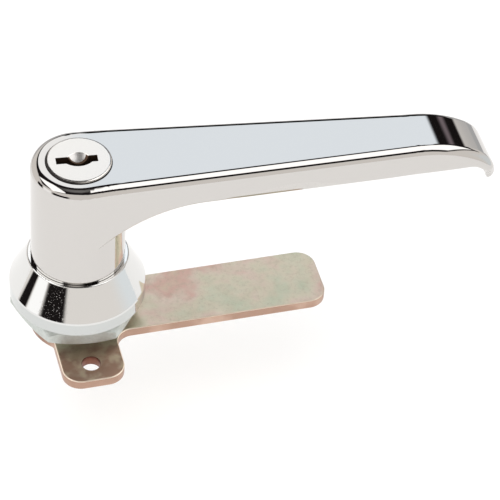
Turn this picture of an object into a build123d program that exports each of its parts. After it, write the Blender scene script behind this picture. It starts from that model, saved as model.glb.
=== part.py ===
from build123d import *
from math import cos, radians, sin, sqrt, tan
import os

os.makedirs("parts", exist_ok=True)

# Keyed L-handle lock for a panel door, in millimetres
# The origin is the centre of the flange's underside, where the door panel lies
# +Z points out of the door along the spindle, +X runs along the handle and the cam

# Running gaps between pieces
shaft_gap = 0.05
slide_gap = 0.1
stack_gap = 0.05
hub_gap = 0.15
thread_gap = 0.04

# Handle hub and arm
hub_radius = 12.5
top_height = 46.03
top_slope = 4.1
pad_edge = -2.0
pad_bend_radius = 168.0
top_edge_round = 2.5
arm_taper = 2.85
arm_depth = 9.1
arm_lower_round = 1.2
tip_half_width = 8.05
tip_blend_radius = 60.0
bend_start = 91.6
bend_radius = 34.0
bend_turn = 28.0
lip_radius = 12.0
lip_turn = 40.0
lip_edge_angle = 42.0
tip_underside_radius = 345.0
tip_hollow_length = 27.25
lip_inner_radius = 5.0
sweep_start = 31.5
sweep_radius = 38.0

# Housing that goes through the door panel
rim_radius = 18.15
rim_height = 3.85
cone_top_radius = 13.4
housing_height = 13.1
cone_lip_round = 0.5
rim_chamfer = 0.3
barrel_radius = 11.0
barrel_flats = 20.6
barrel_length = 8.5
neck_seat = 4.0
ring_recess_radius = 9.0
ring_recess_depth = 3.5
stop_recess_depth = 1.3
stop_tab_half_angle = 14.5
stop_slack_angle = 0.5
handle_travel = 90.0

# Handle neck and spindle inside the housing
neck_radius = 9.8
spindle_radius = 7.0
spindle_square = 8.0
square_length = 3.8
seal_groove_radius = 8.1
seal_groove_width = 2.0
seal_depth = 2.2
seal_gap = 0.03

# Lock cylinder in the handle hub
cylinder_radius = 8.6
cylinder_length = 21.8
clip_room = 3.7
plug_face_height = 46.35
plug_head_radius = 8.6
plug_head_thickness = 2.3
plug_face_round = 0.7
plug_radius = 7.0
plug_tail = 1.8
key_slot_length = 10.8
key_slot_width = 2.4
key_slot_depth = 20.0
key_slot_shift = -0.5
key_slot_turn = -5.0
key_bend_offset = 2.3
key_bend_radius = 3.85
key_bend_width = 1.95
key_dish_radius = 3.45
key_dish_offset = -0.8
key_dish_depth = 1.1
clip_thickness = 1.0
clip_groove_depth = 0.8
clip_reach = 0.9
clip_opening_angle = 100.0

# Wafers that lock the plug to its cylinder
wafer_count = 5
wafer_pitch = 2.6
wafer_thickness = 1.2
wafer_width = 7.0
wafer_travel = 0.6
wafer_window_length = 11.9
wafer_window_width = 5.2
wafer_first_depth = 2.65
groove_wall = 0.8
groove_width = 7.3
spring_half_width = 0.55
spring_strip = 0.15
spring_folds = 4
spring_length = 2.4
spring_offset = 4.6

# Crank and locking bolt
crank_barrel_radius = 5.1
crank_shaft_radius = 3.0
crank_pin_radius = 1.0
crank_throw = 1.8
crank_start_angle = 45.0
crank_disc_height = 3.0
drive_tongue_width = 3.0
drive_tongue_depth = 1.2
bolt_thickness = 2.6
bolt_width = 8.8
bolt_nose_width = 5.0
bolt_nose_length = 3.4
bolt_reach = 9.4
bolt_tail = 4.8
bolt_floor = 5.2
bolt_notch_radius = 12.3

# Cylinder retaining pin in the back of the hub
pin_radius = 1.25
pin_rise = 3.8
pin_sink = 0.3
pin_bite = 1.2
pin_end_chamfer = 0.2

# Nut, washers and rings
washer_thickness = 1.05
washer_radius = 15.0
nut_across_flats = 31.05
nut_height = 5.25
nut_corner_turn = -7.3
nut_chamfer_angle = 30.0
nut_chamfer_radius = 15.2
thrust_thickness = 0.8
ring_thickness = 1.0
ring_groove_depth = 0.6
ring_width = 1.5
ring_opening_angle = 50.0
ring_ear_radius = 0.95
ring_ear_hole_radius = 0.45
stop_washer_thickness = 0.96
stop_washer_radius = 10.7

# Cam plate
cam_thickness = 2.95
cam_reach = 67.9
cam_width = 19.1
cam_boss_radius = 12.75
cam_corner_radius = 5.0
tab_reach = 25.65
tab_left = 8.5
tab_right = 8.2
tab_corner_radius = 5.0
tab_inner_radius = 4.5
tab_left_inner_radius = 1.5
cam_edge_chamfer = 0.25
rod_hole_radius = 2.5
rod_hole_offset = 19.65
rod_hole_shift = -0.5

# Cam screw and its washers
screw_radius = 2.95
screw_length = 12.0
screw_head_flats = 10.0
screw_head_height = 4.0
screw_tip_chamfer = 0.5
screw_bore_spare = 1.0
cam_washer_radius = 8.0
cam_washer_thickness = 1.2
spring_washer_radius = 5.6
spring_washer_thickness = 1.5
spring_washer_slit = 0.8

# Heights that follow from the sizes above
hub_bottom = housing_height + hub_gap
seal_groove_height = housing_height - seal_depth
slope = tan(radians(top_slope))
taper = radians(arm_taper)
head_underside = plug_face_height - plug_head_thickness
cylinder_top = head_underside - stack_gap
cylinder_bottom = cylinder_top - cylinder_length
cylinder_seat = cylinder_bottom - clip_room
plug_end = cylinder_bottom - plug_tail
pin_height = cylinder_bottom + pin_rise
neck_bottom = neck_seat + stack_gap
bolt_slot_top = bolt_floor + bolt_thickness + 2 * slide_gap
crank_bottom = bolt_slot_top + stack_gap
clip_top = cylinder_bottom - stack_gap
clip_groove_bottom = clip_top - clip_thickness - stack_gap
ring_recess_floor = ring_recess_depth - barrel_length
thrust_bottom = ring_recess_floor - stack_gap - thrust_thickness
ring_top = thrust_bottom - stack_gap
ring_bottom = ring_top - ring_thickness
stop_washer_top = -barrel_length - stack_gap
stop_washer_bottom = stop_washer_top - stop_washer_thickness
cam_top = stop_washer_bottom
cam_bottom = cam_top - cam_thickness
nut_top = -washer_thickness
nut_bottom = nut_top - nut_height
cam_washer_bottom = cam_bottom - cam_washer_thickness
spring_washer_bottom = cam_washer_bottom - spring_washer_thickness
square_end = stop_washer_top + stack_gap - square_length
screw_end = spring_washer_bottom + screw_length
stop_rest_angle = -handle_travel / 2
plug_bore = plug_radius + shaft_gap
cylinder_bore = cylinder_radius + slide_gap
clip_radius = plug_radius + clip_reach
wafer_first_height = head_underside - wafer_first_depth
wafer_last_height = wafer_first_height - (wafer_count - 1) * wafer_pitch
wafer_room = wafer_thickness / 2 + shaft_gap
ear_edge = spring_length / 2 + shaft_gap


def top_at(x):
    """Height of the handle's sloping top plane at a distance along the arm."""
    return top_height - slope * x


def underside_at(x):
    """Height of the arm's flat underside at a distance along the arm."""
    return top_at(x) - arm_depth


def wedge(reach, opening, heading):
    """Flat wedge with its point on the axis, opening about a heading in degrees."""
    with BuildSketch() as face:
        with BuildLine():
            Polyline(
                (0, 0),
                point_at((0, 0), reach, heading - opening / 2),
                point_at((0, 0), reach, heading + opening / 2),
                close=True,
            )
        make_face()
    return face.sketch


def point_at(origin, length, heading):
    """Point at a length from an origin, along a heading in degrees."""
    return (
        origin[0] + length * cos(radians(heading)),
        origin[1] + length * sin(radians(heading)),
    )


# Lever handle: hub, tapered arm with a curled tip, neck and squared spindle in one casting
# The top is level over the hub, slopes along the arm and bends down into a thin lip
slope_begin_x = pad_edge + pad_bend_radius * sin(radians(top_slope))
slope_begin = (slope_begin_x, top_at(slope_begin_x))
pad_end = (pad_edge, slope_begin[1] + pad_bend_radius * (1 - cos(radians(top_slope))))
bend_begin = (bend_start, top_at(bend_start))
bend_centre = point_at(bend_begin, bend_radius, -90 - top_slope)
lip_begin = point_at(bend_centre, bend_radius, 90 - top_slope - bend_turn)
lip_centre = point_at(lip_begin, lip_radius, -90 - top_slope - bend_turn)
lip_side = 90 - top_slope - bend_turn - lip_turn
lip_heading = lip_side - 90
lip_end = point_at(lip_centre, lip_radius, lip_side)
lip_skirt = point_at(lip_end, lip_inner_radius, lip_heading)
sweep_top = (sweep_start, underside_at(sweep_start))
sweep_centre = point_at(sweep_top, sweep_radius, -90 - top_slope)
sweep_foot = (0, sweep_centre[1] + sqrt(sweep_radius**2 - sweep_centre[0] ** 2))
hollow_begin_x = lip_begin[0] - tip_hollow_length
hollow_begin = (hollow_begin_x, underside_at(hollow_begin_x))
hollow_end = (
    hollow_begin[0] + tip_underside_radius * sin(radians(top_slope)),
    hollow_begin[1] - tip_underside_radius * (1 - cos(radians(top_slope))),
)
inner_corner = (
    hollow_end[0] - lip_inner_radius * sin(radians(lip_heading)),
    hollow_end[1] - lip_inner_radius * (1 - cos(radians(lip_heading))),
)
inner_foot = point_at(inner_corner, 2 * lip_inner_radius, lip_heading)
blank_base = lip_skirt[1]
blank_top = pad_end[1] + top_edge_round
back_x = -2 * hub_radius
tangent_x = hub_radius * sin(taper)
tangent_y = hub_radius * cos(taper)
taper_end = (hub_radius * sqrt(1 + tan(taper) ** 2) - tip_half_width) / tan(taper)

with BuildPart() as lever_handle:
    with BuildSketch(Plane.XY.offset(blank_base)):
        with BuildLine():
            Polyline(
                (tangent_x, -tangent_y),
                (taper_end, -tip_half_width),
                (lip_skirt[0], -tip_half_width),
                (lip_skirt[0], tip_half_width),
                (taper_end, tip_half_width),
                (tangent_x, tangent_y),
                close=True,
            )
        make_face()
        fillet(vertices().group_by(Axis.X)[1], tip_blend_radius)
        Circle(hub_radius)
    extrude(amount=blank_top - blank_base)
    # outer side outline, from the hub's back over the bend to the lip
    with BuildSketch(Plane.XZ):
        with BuildLine():
            pad_line = Line((back_x, pad_end[1]), pad_end)
            pad_arc = RadiusArc(pad_line @ 1, slope_begin, pad_bend_radius)
            top_line = Line(pad_arc @ 1, bend_begin)
            bend_arc = RadiusArc(top_line @ 1, lip_begin, bend_radius)
            lip_arc = RadiusArc(bend_arc @ 1, lip_end, lip_radius)
            skirt = Line(lip_arc @ 1, lip_skirt)
            Polyline(skirt @ 1, (back_x, blank_base), pad_line @ 0)
        make_face()
    extrude(amount=2 * hub_radius, both=True, mode=Mode.INTERSECT)
    outer_faces = faces().filter_by(lambda face: face.normal_at().Z > 0.2)
    fillet(outer_faces.edges().filter_by(Axis.Y, reverse=True), top_edge_round)
    # space under the arm, with the long sweep that runs down into the hub
    with BuildSketch(Plane.XZ):
        with BuildLine():
            sweep_arc = RadiusArc(sweep_foot, sweep_top, sweep_radius)
            flat_line = Line(sweep_arc @ 1, hollow_begin)
            hollow_arc = RadiusArc(flat_line @ 1, hollow_end, -tip_underside_radius)
            inner_arc = RadiusArc(hollow_end, inner_corner, lip_inner_radius)
            Polyline(
                inner_arc @ 1,
                inner_foot,
                (back_x, inner_foot[1]),
                (back_x, sweep_foot[1]),
                sweep_arc @ 0,
            )
        make_face()
        # lip's lower edge, cut back on the outside
        with BuildLine():
            Polyline(
                lip_end,
                point_at(lip_end, 2 * lip_inner_radius, 180 + lip_edge_angle),
                (lip_end[0] + lip_inner_radius, inner_foot[1]),
                (lip_end[0] + lip_inner_radius, lip_end[1]),
                close=True,
            )
        make_face()
    extrude(amount=2 * hub_radius, both=True, mode=Mode.SUBTRACT)
    lower_edges = edges(Select.LAST).filter_by_position(Axis.X, hub_radius / 2, hollow_end[0])
    fillet(lower_edges.filter_by(Axis.Y, reverse=True), arm_lower_round)
    with BuildSketch(Plane.XY.offset(hub_bottom)):
        Circle(hub_radius)
    extrude(amount=sweep_top[1] - hub_bottom)
    # turned neck, spindle and squared end below the hub
    with BuildSketch(Plane.XY.offset(neck_bottom)):
        Circle(neck_radius)
    extrude(amount=hub_bottom - neck_bottom)
    with BuildSketch(Plane.XY.offset(-barrel_length)):
        Circle(spindle_radius)
    extrude(amount=neck_bottom + barrel_length)
    with BuildSketch(Plane.XY.offset(square_end)):
        Rectangle(spindle_square, spindle_square)
    extrude(amount=-barrel_length - square_end)
    # grooves for the sealing ring and the retaining ring
    with BuildSketch(Plane.XY.offset(seal_groove_height - seal_groove_width / 2)):
        Circle(neck_radius + shaft_gap)
        Circle(seal_groove_radius, mode=Mode.SUBTRACT)
    extrude(amount=seal_groove_width, mode=Mode.SUBTRACT)
    with BuildSketch(Plane.XY.offset(ring_bottom - stack_gap)):
        Circle(spindle_radius + shaft_gap)
        Circle(spindle_radius - ring_groove_depth, mode=Mode.SUBTRACT)
    extrude(amount=ring_thickness + 2 * stack_gap, mode=Mode.SUBTRACT)
    # stepped bore for the lock cylinder, its clip and the bolt driver
    with BuildSketch(Plane.XY.offset(cylinder_bottom - stack_gap)):
        Circle(cylinder_bore)
    extrude(amount=blank_top - cylinder_bottom, mode=Mode.SUBTRACT)
    with BuildSketch(Plane.XY.offset(cylinder_seat)):
        Circle(clip_radius + slide_gap)
    extrude(amount=cylinder_bottom - cylinder_seat, mode=Mode.SUBTRACT)
    with BuildSketch(Plane.XY.offset(bolt_floor)):
        Circle(crank_barrel_radius + slide_gap)
    extrude(amount=cylinder_seat - bolt_floor, mode=Mode.SUBTRACT)
    # bolt slot, milled in from the side of the neck
    with BuildSketch(Plane.XY.offset(bolt_floor)):
        with Locations((bolt_tail + slide_gap, 0)):
            Rectangle(
                hub_radius + bolt_tail,
                bolt_width + 2 * slide_gap,
                align=(Align.MAX, Align.CENTER),
            )
    extrude(amount=bolt_slot_top - bolt_floor, mode=Mode.SUBTRACT)
    # tapped bore for the cam screw and cross bore for the retaining pin
    with BuildSketch(Plane.XY.offset(square_end)):
        Circle(screw_radius + thread_gap)
    extrude(amount=screw_end + screw_bore_spare - square_end, mode=Mode.SUBTRACT)
    with BuildSketch(Plane.XZ.offset(-hub_radius)):
        with Locations((0, pin_height)):
            Circle(pin_radius + stack_gap)
    extrude(amount=hub_radius - plug_bore, mode=Mode.SUBTRACT)
lever_handle.part.label = "lever_handle"
export_step(lever_handle.part, "parts/lever_handle.step")

# Escutcheon housing: round flange with a cone above the panel and a flatted barrel through it
with BuildPart() as escutcheon_housing:
    with BuildSketch(Plane.XZ):
        with BuildLine():
            Polyline(
                (0, 0),
                (rim_radius, 0),
                (rim_radius, rim_height),
                (cone_top_radius, housing_height),
                (0, housing_height),
                close=True,
            )
        make_face()
    revolve(axis=Axis.Z)
    round_edges = edges().filter_by(GeomType.CIRCLE)
    fillet(round_edges.filter_by_position(Axis.Z, housing_height, housing_height), cone_lip_round)
    chamfer(edges().filter_by_position(Axis.Z, rim_height, rim_height), rim_chamfer)
    with BuildSketch():
        Circle(barrel_radius)
        Rectangle(2 * barrel_radius, barrel_flats, mode=Mode.INTERSECT)
    extrude(amount=-barrel_length)
    # bore for the neck, narrower bore for the spindle and recess for the rings
    with BuildSketch(Plane.XY.offset(neck_seat)):
        Circle(neck_radius + shaft_gap)
    extrude(amount=housing_height - neck_seat, mode=Mode.SUBTRACT)
    with BuildSketch(Plane.XY.offset(ring_recess_floor)):
        Circle(spindle_radius + shaft_gap)
    extrude(amount=neck_seat - ring_recess_floor, mode=Mode.SUBTRACT)
    with BuildSketch(Plane.XY.offset(-barrel_length)):
        Circle(ring_recess_radius)
    extrude(amount=ring_recess_depth, mode=Mode.SUBTRACT)
    # recess in the barrel's end, whose two ends stop the handle
    with BuildSketch(Plane.XY.offset(-barrel_length)):
        add(wedge(4 * barrel_radius, handle_travel + 2 * (stop_tab_half_angle + stop_slack_angle), 0))
    extrude(amount=stop_recess_depth, mode=Mode.SUBTRACT)
    # two notches that take the locking bolt, with the handle closed and with it open
    with BuildSketch(Plane.XY.offset(bolt_floor - slide_gap)):
        Rectangle(bolt_notch_radius, bolt_nose_width + 2 * slide_gap, align=(Align.MAX, Align.CENTER))
        Rectangle(bolt_nose_width + 2 * slide_gap, bolt_notch_radius, align=(Align.CENTER, Align.MAX))
    extrude(amount=housing_height - bolt_floor + slide_gap, mode=Mode.SUBTRACT)
escutcheon_housing.part.label = "escutcheon_housing"
export_step(escutcheon_housing.part, "parts/escutcheon_housing.step")

# Flat washer between the door panel and the nut
with BuildPart() as nut_washer:
    with BuildSketch(Plane.XY.offset(nut_top)):
        Circle(washer_radius)
        Circle(barrel_radius + slide_gap, mode=Mode.SUBTRACT)
    extrude(amount=washer_thickness)
nut_washer.part.label = "nut_washer"
export_step(nut_washer.part, "parts/nut_washer.step")

# Hexagon nut on the barrel, chamfered on both faces
with BuildPart() as hex_nut:
    with BuildSketch(Plane.XY.offset(nut_bottom)):
        RegularPolygon(nut_across_flats / 2, 6, major_radius=False, rotation=nut_corner_turn)
    extrude(amount=nut_height)
    chamfer_reach = nut_chamfer_radius + nut_height / 2 / tan(radians(nut_chamfer_angle))
    with BuildSketch(Plane.XZ):
        with BuildLine():
            Polyline(
                (0, nut_bottom),
                (nut_chamfer_radius, nut_bottom),
                (chamfer_reach, nut_bottom + nut_height / 2),
                (nut_chamfer_radius, nut_top),
                (0, nut_top),
                close=True,
            )
        make_face()
    revolve(axis=Axis.Z, mode=Mode.INTERSECT)
    with BuildSketch(Plane.XY.offset(nut_bottom)):
        Circle(barrel_radius + thread_gap)
    extrude(amount=nut_height, mode=Mode.SUBTRACT)
hex_nut.part.label = "hex_nut"
export_step(hex_nut.part, "parts/hex_nut.step")

# Thrust washer and external retaining ring, which hold the handle in the housing
with BuildPart() as thrust_washer:
    with BuildSketch(Plane.XY.offset(thrust_bottom)):
        Circle(ring_recess_radius - slide_gap)
        Circle(spindle_radius + shaft_gap, mode=Mode.SUBTRACT)
    extrude(amount=thrust_thickness)
thrust_washer.part.label = "thrust_washer"
export_step(thrust_washer.part, "parts/thrust_washer.step")

ring_inner_radius = spindle_radius - ring_groove_depth + stack_gap
ring_ear_reach = ring_recess_radius - slide_gap - ring_ear_radius
ring_ear_start = 90 - ring_opening_angle / 2
with BuildPart() as retaining_ring:
    with BuildSketch(Plane.XY.offset(ring_bottom)):
        Circle(ring_inner_radius + ring_width)
        with PolarLocations(ring_ear_reach, 2, ring_ear_start, ring_opening_angle, endpoint=True):
            Circle(ring_ear_radius)
        Circle(ring_inner_radius, mode=Mode.SUBTRACT)
        add(wedge(2 * ring_recess_radius, ring_opening_angle / 2, 90), mode=Mode.SUBTRACT)
        with PolarLocations(ring_ear_reach, 2, ring_ear_start, ring_opening_angle, endpoint=True):
            Circle(ring_ear_hole_radius, mode=Mode.SUBTRACT)
    extrude(amount=ring_thickness)
retaining_ring.part.label = "retaining_ring"
export_step(retaining_ring.part, "parts/retaining_ring.step")

# Square-cut sealing ring in the groove round the handle's neck
with BuildPart() as hub_seal:
    with BuildSketch(Plane.XY.offset(seal_groove_height - seal_groove_width / 2 + seal_gap)):
        Circle(neck_radius + shaft_gap - seal_gap)
        Circle(seal_groove_radius + seal_gap, mode=Mode.SUBTRACT)
    extrude(amount=seal_groove_width - 2 * seal_gap)
hub_seal.part.label = "hub_seal"
export_step(hub_seal.part, "parts/hub_seal.step")

# Stop washer: square-holed disc with a bent-up tab that runs in the barrel's end recess
with BuildPart() as stop_washer:
    with BuildSketch(Plane.XY.offset(stop_washer_bottom)):
        Circle(stop_washer_radius)
    extrude(amount=stop_washer_thickness)
    with BuildSketch(Plane.XY.offset(stop_washer_top)):
        Circle(stop_washer_radius)
        Circle(ring_recess_radius + slide_gap, mode=Mode.SUBTRACT)
        add(wedge(4 * barrel_radius, 2 * stop_tab_half_angle, stop_rest_angle), mode=Mode.INTERSECT)
    extrude(amount=stack_gap + stop_recess_depth - slide_gap)
    with BuildSketch(Plane.XY.offset(stop_washer_bottom)):
        Rectangle(spindle_square + 2 * stack_gap, spindle_square + 2 * stack_gap)
    extrude(amount=stop_washer_thickness, mode=Mode.SUBTRACT)
stop_washer.part.label = "stop_washer"
export_step(stop_washer.part, "parts/stop_washer.step")

# Cam plate: long latching arm and a short tab with a hole for a rod
with BuildPart() as cam_plate:
    with BuildSketch(Plane.XY.offset(cam_bottom)):
        Rectangle(cam_reach, cam_width, align=(Align.MIN, Align.CENTER))
        with Locations(((tab_right - tab_left) / 2, 0)):
            Rectangle(tab_left + tab_right, tab_reach, align=(Align.CENTER, Align.MAX))
        fillet(vertices().group_by(Axis.X)[-1], cam_corner_radius)
        fillet(vertices().group_by(Axis.Y)[0], tab_corner_radius)
        fillet(vertices().sort_by_distance((tab_right, -cam_width / 2, 0))[0], tab_inner_radius)
        Circle(cam_boss_radius)
        boss_corner = (-tab_left, -sqrt(cam_boss_radius**2 - tab_left**2), 0)
        fillet(vertices().sort_by_distance(boss_corner)[0], tab_left_inner_radius)
    extrude(amount=cam_thickness)
    chamfer(edges().filter_by(Axis.Z, reverse=True), cam_edge_chamfer)
    with BuildSketch(Plane.XY.offset(cam_bottom)):
        Rectangle(spindle_square + 2 * stack_gap, spindle_square + 2 * stack_gap)
        with Locations((rod_hole_shift, -rod_hole_offset)):
            Circle(rod_hole_radius)
    extrude(amount=cam_thickness, mode=Mode.SUBTRACT)
cam_plate.part.label = "cam_plate"
export_step(cam_plate.part, "parts/cam_plate.step")

# Cam screw with its flat washer and split spring washer
with BuildPart() as cam_washer:
    with BuildSketch(Plane.XY.offset(cam_washer_bottom)):
        Circle(cam_washer_radius)
        Circle(screw_radius + slide_gap, mode=Mode.SUBTRACT)
    extrude(amount=cam_washer_thickness)
cam_washer.part.label = "cam_washer"
export_step(cam_washer.part, "parts/cam_washer.step")

with BuildPart() as spring_washer:
    with BuildSketch(Plane.XY.offset(spring_washer_bottom)):
        Circle(spring_washer_radius)
        Circle(screw_radius + slide_gap, mode=Mode.SUBTRACT)
        Rectangle(
            spring_washer_radius,
            spring_washer_slit,
            align=(Align.MIN, Align.CENTER),
            mode=Mode.SUBTRACT,
        )
    extrude(amount=spring_washer_thickness)
spring_washer.part.label = "spring_washer"
export_step(spring_washer.part, "parts/spring_washer.step")

with BuildPart() as cam_screw:
    with BuildSketch(Plane.XY.offset(spring_washer_bottom)):
        RegularPolygon(screw_head_flats / 2, 6, major_radius=False)
    extrude(amount=-screw_head_height)
    with BuildSketch(Plane.XY.offset(spring_washer_bottom)):
        Circle(screw_radius)
    extrude(amount=screw_length)
    chamfer(edges().group_by(Axis.Z)[-1], screw_tip_chamfer)
cam_screw.part.label = "cam_screw"
export_step(cam_screw.part, "parts/cam_screw.step")

# Lock cylinder body: sleeve with four grooves that the wafers spring into
with BuildPart() as lock_cylinder_body:
    with BuildSketch(Plane.XY.offset(cylinder_bottom)):
        Circle(cylinder_radius)
        Circle(plug_bore, mode=Mode.SUBTRACT)
    extrude(amount=cylinder_length)
    with BuildSketch(Plane.XY.offset(wafer_last_height - wafer_room - groove_wall)):
        Rectangle(2 * cylinder_radius, groove_width)
        Rectangle(groove_width, 2 * cylinder_radius)
        Circle(cylinder_radius - groove_wall, mode=Mode.INTERSECT)
    extrude(
        amount=wafer_first_height - wafer_last_height + 2 * (wafer_room + groove_wall),
        mode=Mode.SUBTRACT,
    )
    with BuildSketch(Plane.XZ.offset(-cylinder_radius)):
        with Locations((0, pin_height)):
            Circle(pin_radius + stack_gap)
    extrude(amount=pin_bite + stack_gap, mode=Mode.SUBTRACT)
lock_cylinder_body.part.label = "lock_cylinder_body"
export_step(lock_cylinder_body.part, "parts/lock_cylinder_body.step")

# Cross pin that holds the lock cylinder in the hub
with BuildPart() as cylinder_retaining_pin:
    with BuildSketch(Plane.XZ.offset(pin_sink - hub_radius)):
        with Locations((0, pin_height)):
            Circle(pin_radius)
    extrude(amount=hub_radius - pin_sink - cylinder_radius + pin_bite)
    chamfer(edges().filter_by(GeomType.CIRCLE), pin_end_chamfer)
cylinder_retaining_pin.part.label = "cylinder_retaining_pin"
export_step(cylinder_retaining_pin.part, "parts/cylinder_retaining_pin.step")

# Concave thumb dish beside the keyway, bounded by the inside of the keyway's bend
key_bend_inner = key_bend_radius - key_bend_width / 2
key_bend_outer = key_bend_radius + key_bend_width / 2
dish_ball_radius = (key_dish_radius**2 + key_dish_depth**2) / (2 * key_dish_depth)
key_plane = Plane.XY.offset(plug_face_height).rotated((0, 0, key_slot_turn))
with BuildPart(key_plane) as key_dish:
    with BuildSketch(key_plane):
        with Locations((0, key_bend_offset)):
            Circle(key_bend_inner)
    extrude(amount=-plug_head_thickness)
    with Locations((0, key_dish_offset, dish_ball_radius - key_dish_depth)):
        Sphere(dish_ball_radius, mode=Mode.INTERSECT)

# Key plug: headed core with a keyway that bends round the dish, and a slot for each wafer
with BuildPart() as key_plug:
    with BuildSketch(Plane.XY.offset(head_underside)):
        Circle(plug_head_radius)
    extrude(amount=plug_head_thickness)
    fillet(edges().group_by(Axis.Z)[-1], plug_face_round)
    with BuildSketch(Plane.XY.offset(plug_end)):
        Circle(plug_radius)
    extrude(amount=head_underside - plug_end)
    with BuildSketch(key_plane):
        with Locations((key_slot_shift, 0)):
            Rectangle(key_slot_length, key_slot_width)
        with Locations((0, key_bend_offset)):
            Circle(key_bend_inner, mode=Mode.SUBTRACT)
        with BuildSketch(mode=Mode.PRIVATE) as key_bend:
            with Locations((0, key_bend_offset)):
                Circle(key_bend_outer)
                Circle(key_bend_inner, mode=Mode.SUBTRACT)
            with Locations((0, key_slot_width / 2)):
                Rectangle(
                    key_slot_length,
                    key_bend_outer,
                    align=(Align.CENTER, Align.MAX),
                    mode=Mode.INTERSECT,
                )
        add(key_bend.sketch)
    extrude(amount=-key_slot_depth, mode=Mode.SUBTRACT)
    add(key_dish.part, mode=Mode.SUBTRACT)
    # wafer slots, each with a pocket for the spring and the wafer's ear
    for index in range(wafer_count):
        slot_height = wafer_first_height - index * wafer_pitch - wafer_room
        slot_turn = 180 * (index % 2)
        with BuildSketch(Plane.XY.offset(slot_height).rotated((0, 0, slot_turn))):
            Rectangle(2 * plug_radius, wafer_width + 2 * shaft_gap)
            with Locations((-ear_edge, 0)):
                Rectangle(
                    2 * ear_edge + wafer_thickness + wafer_travel + shaft_gap,
                    spring_offset + spring_half_width + slide_gap,
                    align=(Align.MIN, Align.MIN),
                )
        extrude(amount=2 * wafer_room, mode=Mode.SUBTRACT)
    # groove for the clip and slot for the driver's tongue
    with BuildSketch(Plane.XY.offset(clip_groove_bottom)):
        Circle(plug_bore)
        Circle(plug_radius - clip_groove_depth, mode=Mode.SUBTRACT)
    extrude(amount=clip_thickness + 2 * stack_gap, mode=Mode.SUBTRACT)
    with BuildSketch(Plane.XY.offset(plug_end)):
        Rectangle(2 * (crank_shaft_radius + slide_gap), drive_tongue_width + 2 * shaft_gap)
    extrude(amount=drive_tongue_depth + stack_gap, mode=Mode.SUBTRACT)
key_plug.part.label = "key_plug"
export_step(key_plug.part, "parts/key_plug.step")

# Spring clip that keeps the plug in its cylinder
with BuildPart() as plug_clip:
    with BuildSketch(Plane.XY.offset(clip_groove_bottom + stack_gap)):
        Circle(clip_radius)
        Circle(plug_radius - clip_groove_depth + stack_gap, mode=Mode.SUBTRACT)
        add(wedge(2 * clip_radius, clip_opening_angle, 90), mode=Mode.SUBTRACT)
    extrude(amount=clip_thickness)
plug_clip.part.label = "plug_clip"
export_step(plug_clip.part, "parts/plug_clip.step")

# Wafers: flat plates with a window for the key and an ear for the spring, turned about in pairs
for index in range(wafer_count):
    wafer_height = wafer_first_height - index * wafer_pitch - wafer_thickness / 2
    wafer_turn = 180 * (index % 2)
    with BuildPart() as wafer:
        with BuildSketch(Plane.XY.offset(wafer_height).rotated((0, 0, wafer_turn))):
            Rectangle(2 * plug_radius, wafer_width)
            Circle(plug_radius - shaft_gap, mode=Mode.INTERSECT)
            with Locations((ear_edge, 0)):
                Rectangle(wafer_thickness, spring_offset + spring_half_width, align=(Align.MIN, Align.MIN))
            Rectangle(wafer_window_length, wafer_window_width, mode=Mode.SUBTRACT)
        extrude(amount=wafer_thickness)
    wafer.part.label = f"wafer_{index + 1}"
    export_step(wafer.part, f"parts/wafer_{index + 1}.step")

# Wafer springs: one small folded strip beside each wafer, pushing on its ear
fold_pitch = (spring_length - spring_strip) / spring_folds
fold_reach = spring_half_width - spring_strip
with BuildPart() as wafer_springs:
    for index in range(wafer_count):
        strip_base = wafer_first_height - index * wafer_pitch - wafer_thickness / 2
        with BuildSketch(Plane.XY.offset(strip_base).rotated((0, 0, 180 * (index % 2)))):
            with BuildLine():
                Polyline(
                    *[
                        (
                            (fold - spring_folds / 2) * fold_pitch,
                            spring_offset + fold_reach * (1 - 2 * (fold % 2)),
                        )
                        for fold in range(spring_folds + 1)
                    ]
                )
            trace(line_width=spring_strip)
        extrude(amount=wafer_thickness)
wafer_springs.part.label = "wafer_springs"
export_step(wafer_springs.part, "parts/wafer_springs.step")

# Bolt driver: spool turned by the plug, with an off-centre crank pin that slides the bolt
tongue_bottom = plug_end - stack_gap
crank_pin_centre = point_at((0, 0), crank_throw, crank_start_angle)
with BuildPart() as bolt_driver:
    with BuildSketch(Plane.XY.offset(crank_bottom)):
        Circle(crank_shaft_radius)
    extrude(amount=tongue_bottom - crank_bottom)
    with BuildSketch(Plane.XY.offset(crank_bottom), Plane.XY.offset(cylinder_seat - crank_disc_height)):
        Circle(crank_barrel_radius)
    extrude(amount=crank_disc_height)
    with BuildSketch(Plane.XY.offset(tongue_bottom)):
        Circle(crank_shaft_radius)
        Rectangle(2 * crank_shaft_radius, drive_tongue_width, mode=Mode.INTERSECT)
    extrude(amount=drive_tongue_depth)
    with BuildSketch(Plane.XY.offset(crank_bottom)):
        with Locations(crank_pin_centre):
            Circle(crank_pin_radius)
    extrude(amount=bolt_floor + slide_gap - crank_bottom)
bolt_driver.part.label = "bolt_driver"
export_step(bolt_driver.part, "parts/bolt_driver.step")

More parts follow.
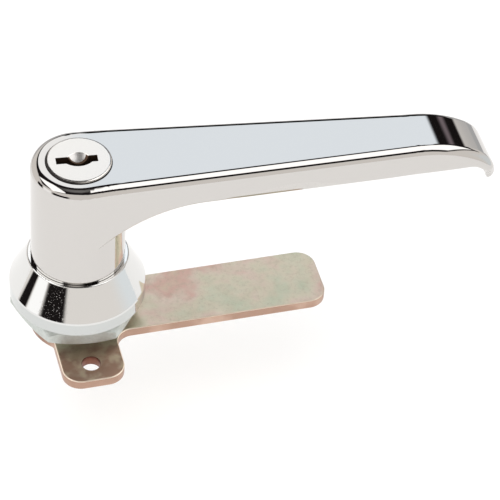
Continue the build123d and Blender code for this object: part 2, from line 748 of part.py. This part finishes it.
# Locking bolt: plate that slides out of the neck into one of the housing's notches
bolt_shoulder = bolt_reach - bolt_nose_length
crank_slot_length = 2 * (crank_throw + crank_pin_radius + slide_gap)
with BuildPart() as locking_bolt:
    with BuildSketch(Plane.XY.offset(bolt_floor + slide_gap)):
        with Locations((bolt_tail, 0)):
            Rectangle(bolt_tail + bolt_shoulder, bolt_width, align=(Align.MAX, Align.CENTER))
        with Locations((-bolt_shoulder, 0)):
            Rectangle(bolt_nose_length, bolt_nose_width, align=(Align.MAX, Align.CENTER))
        with Locations((crank_pin_centre[0], 0)):
            SlotOverall(
                crank_slot_length,
                2 * (crank_pin_radius + slide_gap),
                rotation=90,
                mode=Mode.SUBTRACT,
            )
    extrude(amount=bolt_thickness)
locking_bolt.part.label = "locking_bolt"
export_step(locking_bolt.part, "parts/locking_bolt.step")
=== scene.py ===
from math import cos, degrees, pi, radians, sin

import bmesh
import bpy
from mathutils import Matrix, Vector

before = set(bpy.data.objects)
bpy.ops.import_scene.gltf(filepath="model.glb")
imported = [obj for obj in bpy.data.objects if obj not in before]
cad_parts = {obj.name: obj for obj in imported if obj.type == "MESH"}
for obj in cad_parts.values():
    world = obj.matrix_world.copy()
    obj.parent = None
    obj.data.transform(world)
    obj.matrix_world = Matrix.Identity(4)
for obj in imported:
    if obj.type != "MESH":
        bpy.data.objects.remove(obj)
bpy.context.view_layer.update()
mm = 0.001
scene = bpy.context.scene
scene.view_settings.view_transform = "Standard"


# Camera
# Long lens from above the left of the handle, rolled a little, as the product photograph was taken.
# The handle points 17.7 degrees away from the picture plane, and the view falls 45 degrees.
handle_azimuth = radians(17.728)
view_fall = radians(44.903)
view_roll = radians(4.130)
view_distance = 747.4 * mm
aim_right = 46.07 * mm
aim_up = 9.62 * mm
lens_length = 201.6

ahead = Vector((0, cos(view_fall), -sin(view_fall)))
level_up = Vector((0, sin(view_fall), cos(view_fall)))
view_right = Vector((1, 0, 0)) * cos(view_roll) + level_up * sin(view_roll)
view_up = level_up * cos(view_roll) - Vector((1, 0, 0)) * sin(view_roll)
camera_place = view_right * aim_right + view_up * aim_up - ahead * view_distance
camera_turn = Matrix((view_right, view_up, -ahead)).transposed()
row_from_view = Matrix.Rotation(-handle_azimuth, 4, "Z")

camera_data = bpy.data.cameras.new("camera")
camera_data.lens = lens_length
camera_data.clip_end = 20
camera = bpy.data.objects.new("camera", camera_data)
scene.collection.objects.link(camera)
camera.matrix_world = row_from_view @ Matrix.Translation(camera_place) @ camera_turn.to_4x4()
scene.camera = camera


# Shader sockets
# An expression on wires adds its Math nodes, and any other node comes from Shader.node.
class Wire:
    """Output socket of a shader tree."""

    def __init__(self, shader, socket):
        self.shader = shader
        self.socket = socket

    def math(self, operation, *others):
        values = {number: value for number, value in enumerate((self, *others))}
        return self.shader.node("ShaderNodeMath", {"operation": operation}, values)

    def __add__(self, other):
        return self.math("ADD", other)

    def __sub__(self, other):
        return self.math("SUBTRACT", other)

    def __rsub__(self, other):
        return self.math("MULTIPLY_ADD", -1.0, other)

    def __mul__(self, other):
        return self.math("MULTIPLY", other)

    __radd__ = __add__
    __rmul__ = __mul__

    def step(self, low, high):
        """0 below low, 1 above high, and a smooth rise between them."""
        settings = {"interpolation_type": "SMOOTHSTEP"}
        return self.shader.node("ShaderNodeMapRange", settings, {0: self, 1: low, 2: high})

    def band(self, low, high, soft):
        """1 between low and high, with soft edges."""
        return self.step(low - soft, low + soft) * (1 - self.step(high - soft, high + soft))


class Shader:
    """Node tree of a material or of the world."""

    def __init__(self, owner):
        owner.use_nodes = True
        self.tree = owner.node_tree
        self.tree.nodes.clear()

    def node(self, kind, settings=None, values=None, output=0):
        made = self.tree.nodes.new(kind)
        for name, value in (settings or {}).items():
            setattr(made, name, value)
        for name, value in (values or {}).items():
            if isinstance(value, Wire):
                self.tree.links.new(value.socket, made.inputs[name])
            else:
                made.inputs[name].default_value = value
        return Wire(self, made.outputs[output]) if len(made.outputs) else None

    def split(self, vector):
        """The x, y and z of a vector."""
        parts = self.node("ShaderNodeSeparateXYZ", None, {0: vector})
        return [Wire(self, socket) for socket in parts.socket.node.outputs]

    def place(self):
        """Point on the surface, in the object's own coordinates."""
        return self.node("ShaderNodeTexCoord", output=3)

    def upright(self):
        """How far the surface faces up: 1 on a top, 0 on a wall and -1 on an underside."""
        return self.split(self.node("ShaderNodeNewGeometry", output=1))[2]

    def mix(self, factor, first, second):
        """Colour that goes from first to second as factor goes from 0 to 1."""
        settings = {"data_type": "RGBA", "clamp_factor": True}
        values = {0: factor, 6: first, 7: second}
        return self.node("ShaderNodeMix", settings, values, output=2)

    def noise(self, place, scale, detail=2.0, rough=0.5):
        values = {"Vector": place, "Scale": scale, "Detail": detail, "Roughness": rough}
        return self.node("ShaderNodeTexNoise", None, values)

    def ramp(self, factor, stops):
        made = self.node("ShaderNodeValToRGB", None, {0: factor})
        colours = made.socket.node.color_ramp
        while len(colours.elements) < len(stops):
            colours.elements.new(0.5)
        for element, (position, colour) in zip(colours.elements, stops):
            element.position = position
            element.color = colour
        return made


def rgb(red, green, blue):
    """Linear colour of a colour that is given as it shows, from 0 to 255."""
    shown = [value / 255 for value in (red, green, blue)]
    return (*[v / 12.92 if v <= 0.04045 else ((v + 0.055) / 1.055) ** 2.4 for v in shown], 1.0)


# Studio: world light, floor and one soft lamp
# The chrome shows a dark ceiling with two white soft boxes and a pale blue-grey board, and pale
# walls below. Directions are drawn as on a dome seen from below, in degrees from straight up, with
# "right" and "front" as seen from the camera. The floor is clear when seen from below.
wall = (0.92, 0.885, 0.85, 1)
back_wall = (0.54, 0.55, 0.56, 1)
side_wall = (0.90, 0.95, 0.98, 1)
gap = (0.012, 0.010, 0.010, 1)
ceiling_glow = (0.22, 0.215, 0.21, 1)
box_white = (1.75, 1.75, 1.75, 1)
low_white = (1.3, 1.3, 1.3, 1)
board = (1.14, 1.24, 1.34, 1)
board_edge = (1.36, 1.37, 1.38, 1)
mauve = (0.24, 0.20, 0.22, 1)
no_division_by_zero = 1e-6


def studio_world():
    world = bpy.data.worlds.new("studio")
    scene.world = world
    shader = Shader(world)
    direction = shader.node("ShaderNodeTexCoord")

    def along(axis):
        values = {0: direction, 1: row_from_view.to_3x3() @ Vector(axis)}
        return shader.node("ShaderNodeVectorMath", {"operation": "DOT_PRODUCT"}, values, output=1)

    across = along((1, 0, 0))
    toward = along((0, -1, 0))
    height = along((0, 0, 1))
    level = (across * across + toward * toward + no_division_by_zero).math("SQRT")
    polar = height.math("ARCCOSINE") * degrees(1)
    right = polar * across.math("DIVIDE", level)
    front = polar * toward.math("DIVIDE", level)
    heading = across.math("ARCTAN2", toward) * degrees(1)

    light = shader.mix(1 - front.step(-84, -60), wall, back_wall)
    light = shader.mix(right.step(60, 80) * (1 - front.step(-10, 40)), light, side_wall)
    upper_left = (right + front * 0.667).step(-66, -61)
    lower_left = (right - front * 0.8).step(-81, -76)
    upper_right = (front - right * 1.1).step(-110, -106)
    corners = upper_left * lower_left * upper_right
    ceiling = front.band(-88, 43, 3) * right.band(-90, 56, 2) * corners
    light = shader.mix(ceiling, light, gap)
    zenith = 1 - (right * right + front * front).math("SQRT").step(5, 27)
    light = shader.mix(zenith, light, ceiling_glow)

    left_box = right.band(-52, -20, 1.5) * front.band(-17, 38, 2)
    light = shader.mix(left_box, light, box_white)
    box_edge = (right - front * 0.27).step(13, 16)
    box_corner = (right + front).step(-13, -9)
    right_box = box_edge * box_corner * (1 - right.step(50, 53)) * front.band(-44, 23, 3)
    light = shader.mix(right_box, light, box_white)

    face = front.band(-60, -39, 1.5)
    light = shader.mix(right.band(-17, 19, 1.5) * face, light, board)
    light = shader.mix(right.band(-17, -3, 3) * face, light, board_edge)
    light = shader.mix(right.band(26, 29.5, 1.5) * front.band(-70, -60, 2), light, mauve)

    low = height.band(-0.6, 0.17, 0.02)
    light = shader.mix(heading.band(-51, -14, 4) * low, light, gap)
    light = shader.mix(heading.band(-91, -76, 2) * low, light, gap)
    light = shader.mix(heading.band(-74, -53, 2) * low, light, low_white)

    rays = shader.node("ShaderNodeLightPath")
    glossy = Wire(shader, rays.socket.node.outputs["Is Glossy Ray"])
    plain = shader.node("ShaderNodeBackground", None, {"Color": (1, 1, 1, 1), "Strength": 1.0})
    studio = shader.node("ShaderNodeBackground", None, {"Color": light, "Strength": 1.0})
    both = shader.node("ShaderNodeMixShader", None, {0: glossy, 1: plain, 2: studio})
    shader.node("ShaderNodeOutputWorld", None, {"Surface": both})


def flat_plate(name, half_side, height):
    plate = bmesh.new()
    bmesh.ops.create_grid(plate, x_segments=1, y_segments=1, size=half_side)
    bmesh.ops.translate(plate, verts=plate.verts, vec=(0, 0, height))
    return piece_from(plate, name)


def piece_from(shape, name):
    """Object made from a bmesh, at the origin."""
    mesh = bpy.data.meshes.new(name)
    shape.to_mesh(mesh)
    shape.free()
    piece = bpy.data.objects.new(name, mesh)
    scene.collection.objects.link(piece)
    return piece


def floor_paint():
    paint = bpy.data.materials.new("floor_paint")
    shader = Shader(paint)
    tone = shader.noise(shader.place(), 3.0)
    colour = shader.mix(tone, (0.86, 0.855, 0.85, 1), (0.88, 0.877, 0.873, 1))
    values = {
        "Base Color": colour,
        "Roughness": 0.9,
        "Emission Color": (1, 0.99, 0.98, 1),
        "Emission Strength": 0.14,
    }
    solid = shader.node("ShaderNodeBsdfPrincipled", None, values)
    from_below = shader.node("ShaderNodeNewGeometry", output=6)
    clear = shader.node("ShaderNodeBsdfTransparent")
    surface = shader.node("ShaderNodeMixShader", None, {0: from_below, 1: solid, 2: clear})
    shader.node("ShaderNodeOutputMaterial", None, {"Surface": surface})
    return paint


studio_world()
floor = flat_plate("floor", half_side=0.4, height=-60 * mm)
floor.data.materials.append(floor_paint())

lamp_data = bpy.data.lights.new("overhead_box", "AREA")
lamp_data.shape = "RECTANGLE"
lamp_data.size = 0.5
lamp_data.size_y = 0.4
lamp_data.energy = 1.6
overhead_box = bpy.data.objects.new("overhead_box", lamp_data)
overhead_box.location = (-0.15, -0.25, 0.75)
overhead_box.rotation_euler = Vector((0.2, 0.25, -0.75)).to_track_quat("-Z", "Y").to_euler()
overhead_box.visible_glossy = False
overhead_box.visible_camera = False
scene.collection.objects.link(overhead_box)


def metal(name, base, roughness, bump=None, bump_height=0.0):
    """Bare or plated metal. Its colour, roughness and bump may vary over the surface."""
    finish = bpy.data.materials.new(name)
    shader = Shader(finish)
    place = shader.place()
    values = {
        "Metallic": 1.0,
        "Base Color": base(shader, place) if callable(base) else base,
        "Roughness": roughness(shader, place) if callable(roughness) else roughness,
    }
    if bump:
        heights = {"Strength": 1.0, "Distance": bump_height, "Height": bump(shader, place)}
        values["Normal"] = shader.node("ShaderNodeBump", None, heights)
    surface = shader.node("ShaderNodeBsdfPrincipled", None, values)
    shader.node("ShaderNodeOutputMaterial", None, {"Surface": surface})
    return finish


def dress(finish, *nodes):
    """Give CAD nodes a finish."""
    for name in nodes:
        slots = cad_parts[name].data.materials
        slots.clear()
        slots.append(finish)


# Lever handle
# Zinc casting, polished and plated with bright chrome, with a slight waviness under the plate.
# Its walls roll under a little along the arm's lower edge, where they mirror the cam.
chrome_tint = (0.61, 0.589, 0.567, 1)
arm_slope = 0.0717
wall_foot = 36.93 * mm
lower_round = 1.2 * mm
roll_start = 0.4 * mm
roll_slope = 0.52
thin_roll = 2.2 * mm
thick_roll = 1.2 * mm
waviness = 0.004 * mm
as_modelled = 1.0


def handle_relief(shader, place):
    along, _, tall = shader.split(place)
    above = tall + along * arm_slope - wall_foot
    thin_part = along.band(36 * mm, 66 * mm, 10 * mm) * thin_roll
    thick_part = along.band(50 * mm, 66 * mm, 6 * mm) * thick_roll
    under = (thin_part + thick_part - above).math("MAXIMUM", 0.0)
    rolled = under * along.step(34 * mm, 38 * mm)
    roll = rolled * rolled.math("DIVIDE", rolled + roll_start) * -roll_slope
    curl = (lower_round - above).math("MAXIMUM", 0.0)
    flat = curl * curl * (1.0 / (2 * lower_round)) * along.band(38 * mm, 82 * mm, 5 * mm)
    return roll + flat + shader.noise(place, 160.0, 1.0) * waviness


def chrome_haze(shader, place):
    return shader.noise(place, 900.0, 3.0) * 0.03 + 0.02


handle_chrome = metal("handle_chrome", chrome_tint, chrome_haze, handle_relief, as_modelled)
dress(handle_chrome, "lever_handle")


# Housing
# Zinc casting with bright chrome on the cone and the rim. The plate is pitted on one side, and the
# barrel carries a screw thread for the nut.
cone_tint = (0.74, 0.735, 0.72, 1)
# Painted reflection: the chrome's upright sides are painted darker and greener than its tops.
rim_painted_reflection_tint = (0.585, 0.6, 0.59, 1)
thread_pitch = 1.5 * mm
thread_depth = 0.4 * mm
barrel_radius = 11.0 * mm
pit_depth = 0.009 * mm
polish_depth = 0.003 * mm


def housing_relief(shader, place):
    across, deep, tall = shader.split(place)
    pitted = (deep * -1).step(8 * mm, 13 * mm)
    pits = shader.noise(place, 2300.0, 3.0, 0.6).step(0.6, 0.76) * pit_depth * pitted
    turn = deep.math("ARCTAN2", across) * (1 / (2 * pi))
    ridge = (tall * (1 / thread_pitch) + turn).math("PINGPONG", 0.5) * thread_depth
    radius = (across * across + deep * deep).math("SQRT")
    outside = radius.step(barrel_radius - 0.15 * mm, barrel_radius)
    barrel = (1 - tall.step(-0.3 * mm, -0.1 * mm)) * outside
    return pits + shader.noise(place, 700.0, 2.0) * polish_depth + ridge * barrel


def housing_tone(shader, place):
    # Upright sides get the darker, greener painted reflection, and tops keep the cone's chrome.
    upright = shader.upright().math("ABSOLUTE")
    return shader.mix(upright.step(0.1, 0.3), rim_painted_reflection_tint, cone_tint)


housing_chrome = metal("housing_chrome", housing_tone, chrome_haze, housing_relief, as_modelled)
dress(housing_chrome, "escutcheon_housing")


# Lock plug
# Turned brass core with a satin chrome face and a concave dish beside the keyway. The keyway's
# walls are bare brass, painted dark brown as shade down in the slot, and a ring of painted shade
# lies round the face's edge, widest away from the arm.
face_tint = (0.76, 0.725, 0.685, 1)
dish_tint = (0.66, 0.64, 0.62, 1)
# Keyway walls: bare brass, painted dark brown as shade down in the slot.
keyway_brass_shade_tint = rgb(104, 84, 70)
# Painted shade in the gap round the face's edge.
gap_shade_tint = rgb(28, 24, 24)
plug_face = 46.35 * mm
head_radius = 8.6 * mm
keyway_reach = 6.3 * mm
bend_offset = 2.3 * mm
dish_radius = 2.2 * mm
gap_shade_width = 0.42 * mm


def plug_parts(shader, place):
    """Where the keyway's walls, the dish and the ring of painted shade round the face are."""
    across, deep, tall = shader.split(place)
    radius = (across * across + deep * deep).math("SQRT")
    below = 1 - tall.step(plug_face - 0.16 * mm, plug_face - 0.06 * mm)
    inside = below * (1 - radius.step(keyway_reach, keyway_reach + 0.2 * mm))
    from_bend = deep - bend_offset
    bend_radius = (across * across + from_bend * from_bend).math("SQRT")
    dished = 1 - bend_radius.step(dish_radius, dish_radius + 0.15 * mm)
    dish = inside * shader.upright().step(0.3, 0.7) * dished
    # Ring of painted shade round the face's edge, widest away from the arm.
    away = (across * -1 - deep * 0.15).step(1 * mm, 9 * mm)
    gap_shade_ring = (radius + away * gap_shade_width).step(head_radius - 0.16 * mm, head_radius - 0.06 * mm)
    return inside * (1 - dish), dish, gap_shade_ring


def plug_tone(shader, place):
    keyway, dish, gap_shade_ring = plug_parts(shader, place)
    tone = shader.mix(keyway, face_tint, keyway_brass_shade_tint)
    tone = shader.mix(dish, tone, dish_tint)
    return shader.mix(gap_shade_ring * 0.95, tone, gap_shade_tint)


def plug_haze(shader, place):
    keyway, dish, gap_shade_ring = plug_parts(shader, place)
    return keyway * 0.4 + dish * 0.16 + gap_shade_ring * 0.2 + 0.2


plug_chrome = metal("plug_chrome", plug_tone, plug_haze)
dress(plug_chrome, "key_plug")


# Nut and steel washers
# Steel, zinc plated with a faint green tint, with drawing marks along the nut's flats. The washers
# and the screw under the cam have the same plate. Their edges are slightly rounded.
edge_width = 0.18 * mm


def soften(name, width):
    """Narrow rounded edges on a CAD node, as modifiers."""
    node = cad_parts[name]
    weld = node.modifiers.new("weld", "WELD")
    weld.merge_threshold = 0.001 * mm
    bevel = node.modifiers.new("rounded_edges", "BEVEL")
    bevel.width = width
    bevel.segments = 2
    bevel.limit_method = "ANGLE"
    bevel.angle_limit = radians(25)
    bevel.harden_normals = True


def zinc_tone(shader, place):
    tone = shader.noise(place, 900.0, 4.0, 0.6)
    return shader.mix(tone, rgb(180, 186, 181), rgb(220, 223, 219))


def zinc_marks(shader, place):
    values = {"Vector": place, "Scale": (350, 350, 3600)}
    stretched = shader.node("ShaderNodeMapping", None, values)
    return shader.noise(stretched, 1.0, 3.0, 0.6)


zinc_plate = metal("zinc_plate", zinc_tone, 0.46, zinc_marks, 0.11 * mm)
dress(zinc_plate, "hex_nut", "nut_washer", "thrust_washer", "cam_washer", "cam_screw")
for name in ("hex_nut", "nut_washer", "cam_washer", "cam_screw"):
    soften(name, edge_width)


# Cam plate and stop washer
# Pressed steel with a yellow passivated zinc plate: green and straw faces with pink and brown
# patches, and copper on the sheared edges. Light is painted as well: a brown painted reflection on
# the tab, a painted highlight on front-facing rounded edges and painted shade on back-facing ones,
# darker brown along the main body's edges, and painted shade on the rod hole's wall.
rod_hole = (-0.5 * mm, -19.65 * mm, 0)
face_stops = [
    (0.34, rgb(228, 228, 202)),
    (0.46, rgb(242, 230, 206)),
    (0.54, rgb(246, 224, 206)),
    (0.62, rgb(240, 202, 186)),
    (0.74, rgb(240, 222, 196)),
]
speck_tint = rgb(206, 190, 164)
# Painted reflection of dark surroundings on the tab, in two browns.
tab_reflection_tints = rgb(190, 150, 132), rgb(226, 206, 182)
copper_tints = rgb(180, 148, 130), rgb(204, 174, 156)
# Rounded edges: painted highlight where they face the front, and painted shade where they face
# back.
edge_highlight_tint = rgb(255, 240, 220)
edge_shade_tint = rgb(120, 96, 92)
long_edge_tint = rgb(120, 84, 68)
# Painted shade on the rod hole's wall.
hole_shade_tint = rgb(126, 84, 70)


def passivated_tone(shader, place):
    _, deep, _ = shader.split(place)
    patch = shader.noise(place, 66.0, 3.0, 0.55)
    face = shader.ramp(patch, face_stops)
    speck = shader.noise(place, 1100.0, 4.0, 0.7)
    face = shader.mix(speck.step(0.45, 0.75) * 0.4, face, speck_tint)
    # Tab: mottled brown painted reflection.
    tab_reflection_mottle = shader.noise(place, 190.0, 3.0)
    tab = shader.mix(tab_reflection_mottle.step(0.42, 0.6), *tab_reflection_tints)
    face = shader.mix((1 - deep.step(-17 * mm, -9 * mm)) * 0.9, face, tab)

    _, backward, upward = shader.split(shader.node("ShaderNodeNewGeometry", output=1))
    upright = upward.math("ABSOLUTE")
    copper = shader.mix(patch.step(0.42, 0.6), *copper_tints)
    # Painted highlight on front-facing rounded edges, and painted shade on back-facing ones.
    rim = shader.mix(backward.step(0.1, 0.3), edge_highlight_tint, edge_shade_tint)
    rim = shader.mix(upright.step(0.3, 0.6), copper, rim)
    # Edges of the main body, away from the tab, are darker brown.
    rim = shader.mix(deep.step(-10 * mm, -6 * mm) * 0.55, rim, long_edge_tint)
    tone = shader.mix(upright.step(0.86, 0.97), rim, face)

    # Painted shade on the rod hole's wall, inside a ring round the hole.
    drop = {0: place, 1: (1, 1, 0)}
    level_place = shader.node("ShaderNodeVectorMath", {"operation": "MULTIPLY"}, drop)
    ends = {0: level_place, 1: rod_hole}
    away = shader.node("ShaderNodeVectorMath", {"operation": "DISTANCE"}, ends, output=1)
    return shader.mix(1 - away.step(2.52 * mm, 2.6 * mm), tone, hole_shade_tint)


def passivated_haze(shader, place):
    return shader.noise(place, 600.0, 4.0) * 0.25 + 0.28


def passivated_grain(shader, place):
    return shader.noise(place, 1300.0, 4.0, 0.6)


yellow_zinc = metal("yellow_zinc", passivated_tone, passivated_haze, passivated_grain, 0.03 * mm)
dress(yellow_zinc, "cam_plate", "stop_washer")
soften("cam_plate", 0.22 * mm)
soften("stop_washer", 0.15 * mm)


# Inner pieces
# Cast zinc lock cylinder and driver, brass wafers and a black rubber seal. The clips, the rings,
# the springs, the bolt and the cross pin are spring steel.
def cast_grain(shader, place):
    return shader.noise(place, 1800.0, 3.0)


cast_zinc = metal("cast_zinc", rgb(178, 178, 180), 0.4, cast_grain, 0.02 * mm)
dress(cast_zinc, "lock_cylinder_body", "bolt_driver")
wafer_brass = metal("wafer_brass", rgb(214, 178, 104), 0.3, cast_grain, 0.005 * mm)
dress(wafer_brass, *[f"wafer_{number}" for number in range(1, 6)])
spring_steel = metal("spring_steel", rgb(150, 150, 154), 0.3, cast_grain, 0.005 * mm)
dress(spring_steel, "retaining_ring", "plug_clip", "spring_washer", "wafer_springs", "locking_bolt")
dress(spring_steel, "cylinder_retaining_pin")


def seal_rubber_paint():
    rubber = bpy.data.materials.new("seal_rubber")
    shader = Shader(rubber)
    haze = shader.noise(shader.place(), 1200.0, 2.0) * 0.2 + 0.5
    values = {"Base Color": (0.012, 0.012, 0.013, 1), "Roughness": haze}
    surface = shader.node("ShaderNodeBsdfPrincipled", None, values)
    shader.node("ShaderNodeOutputMaterial", None, {"Surface": surface})
    return rubber


dress(seal_rubber_paint(), "hub_seal")
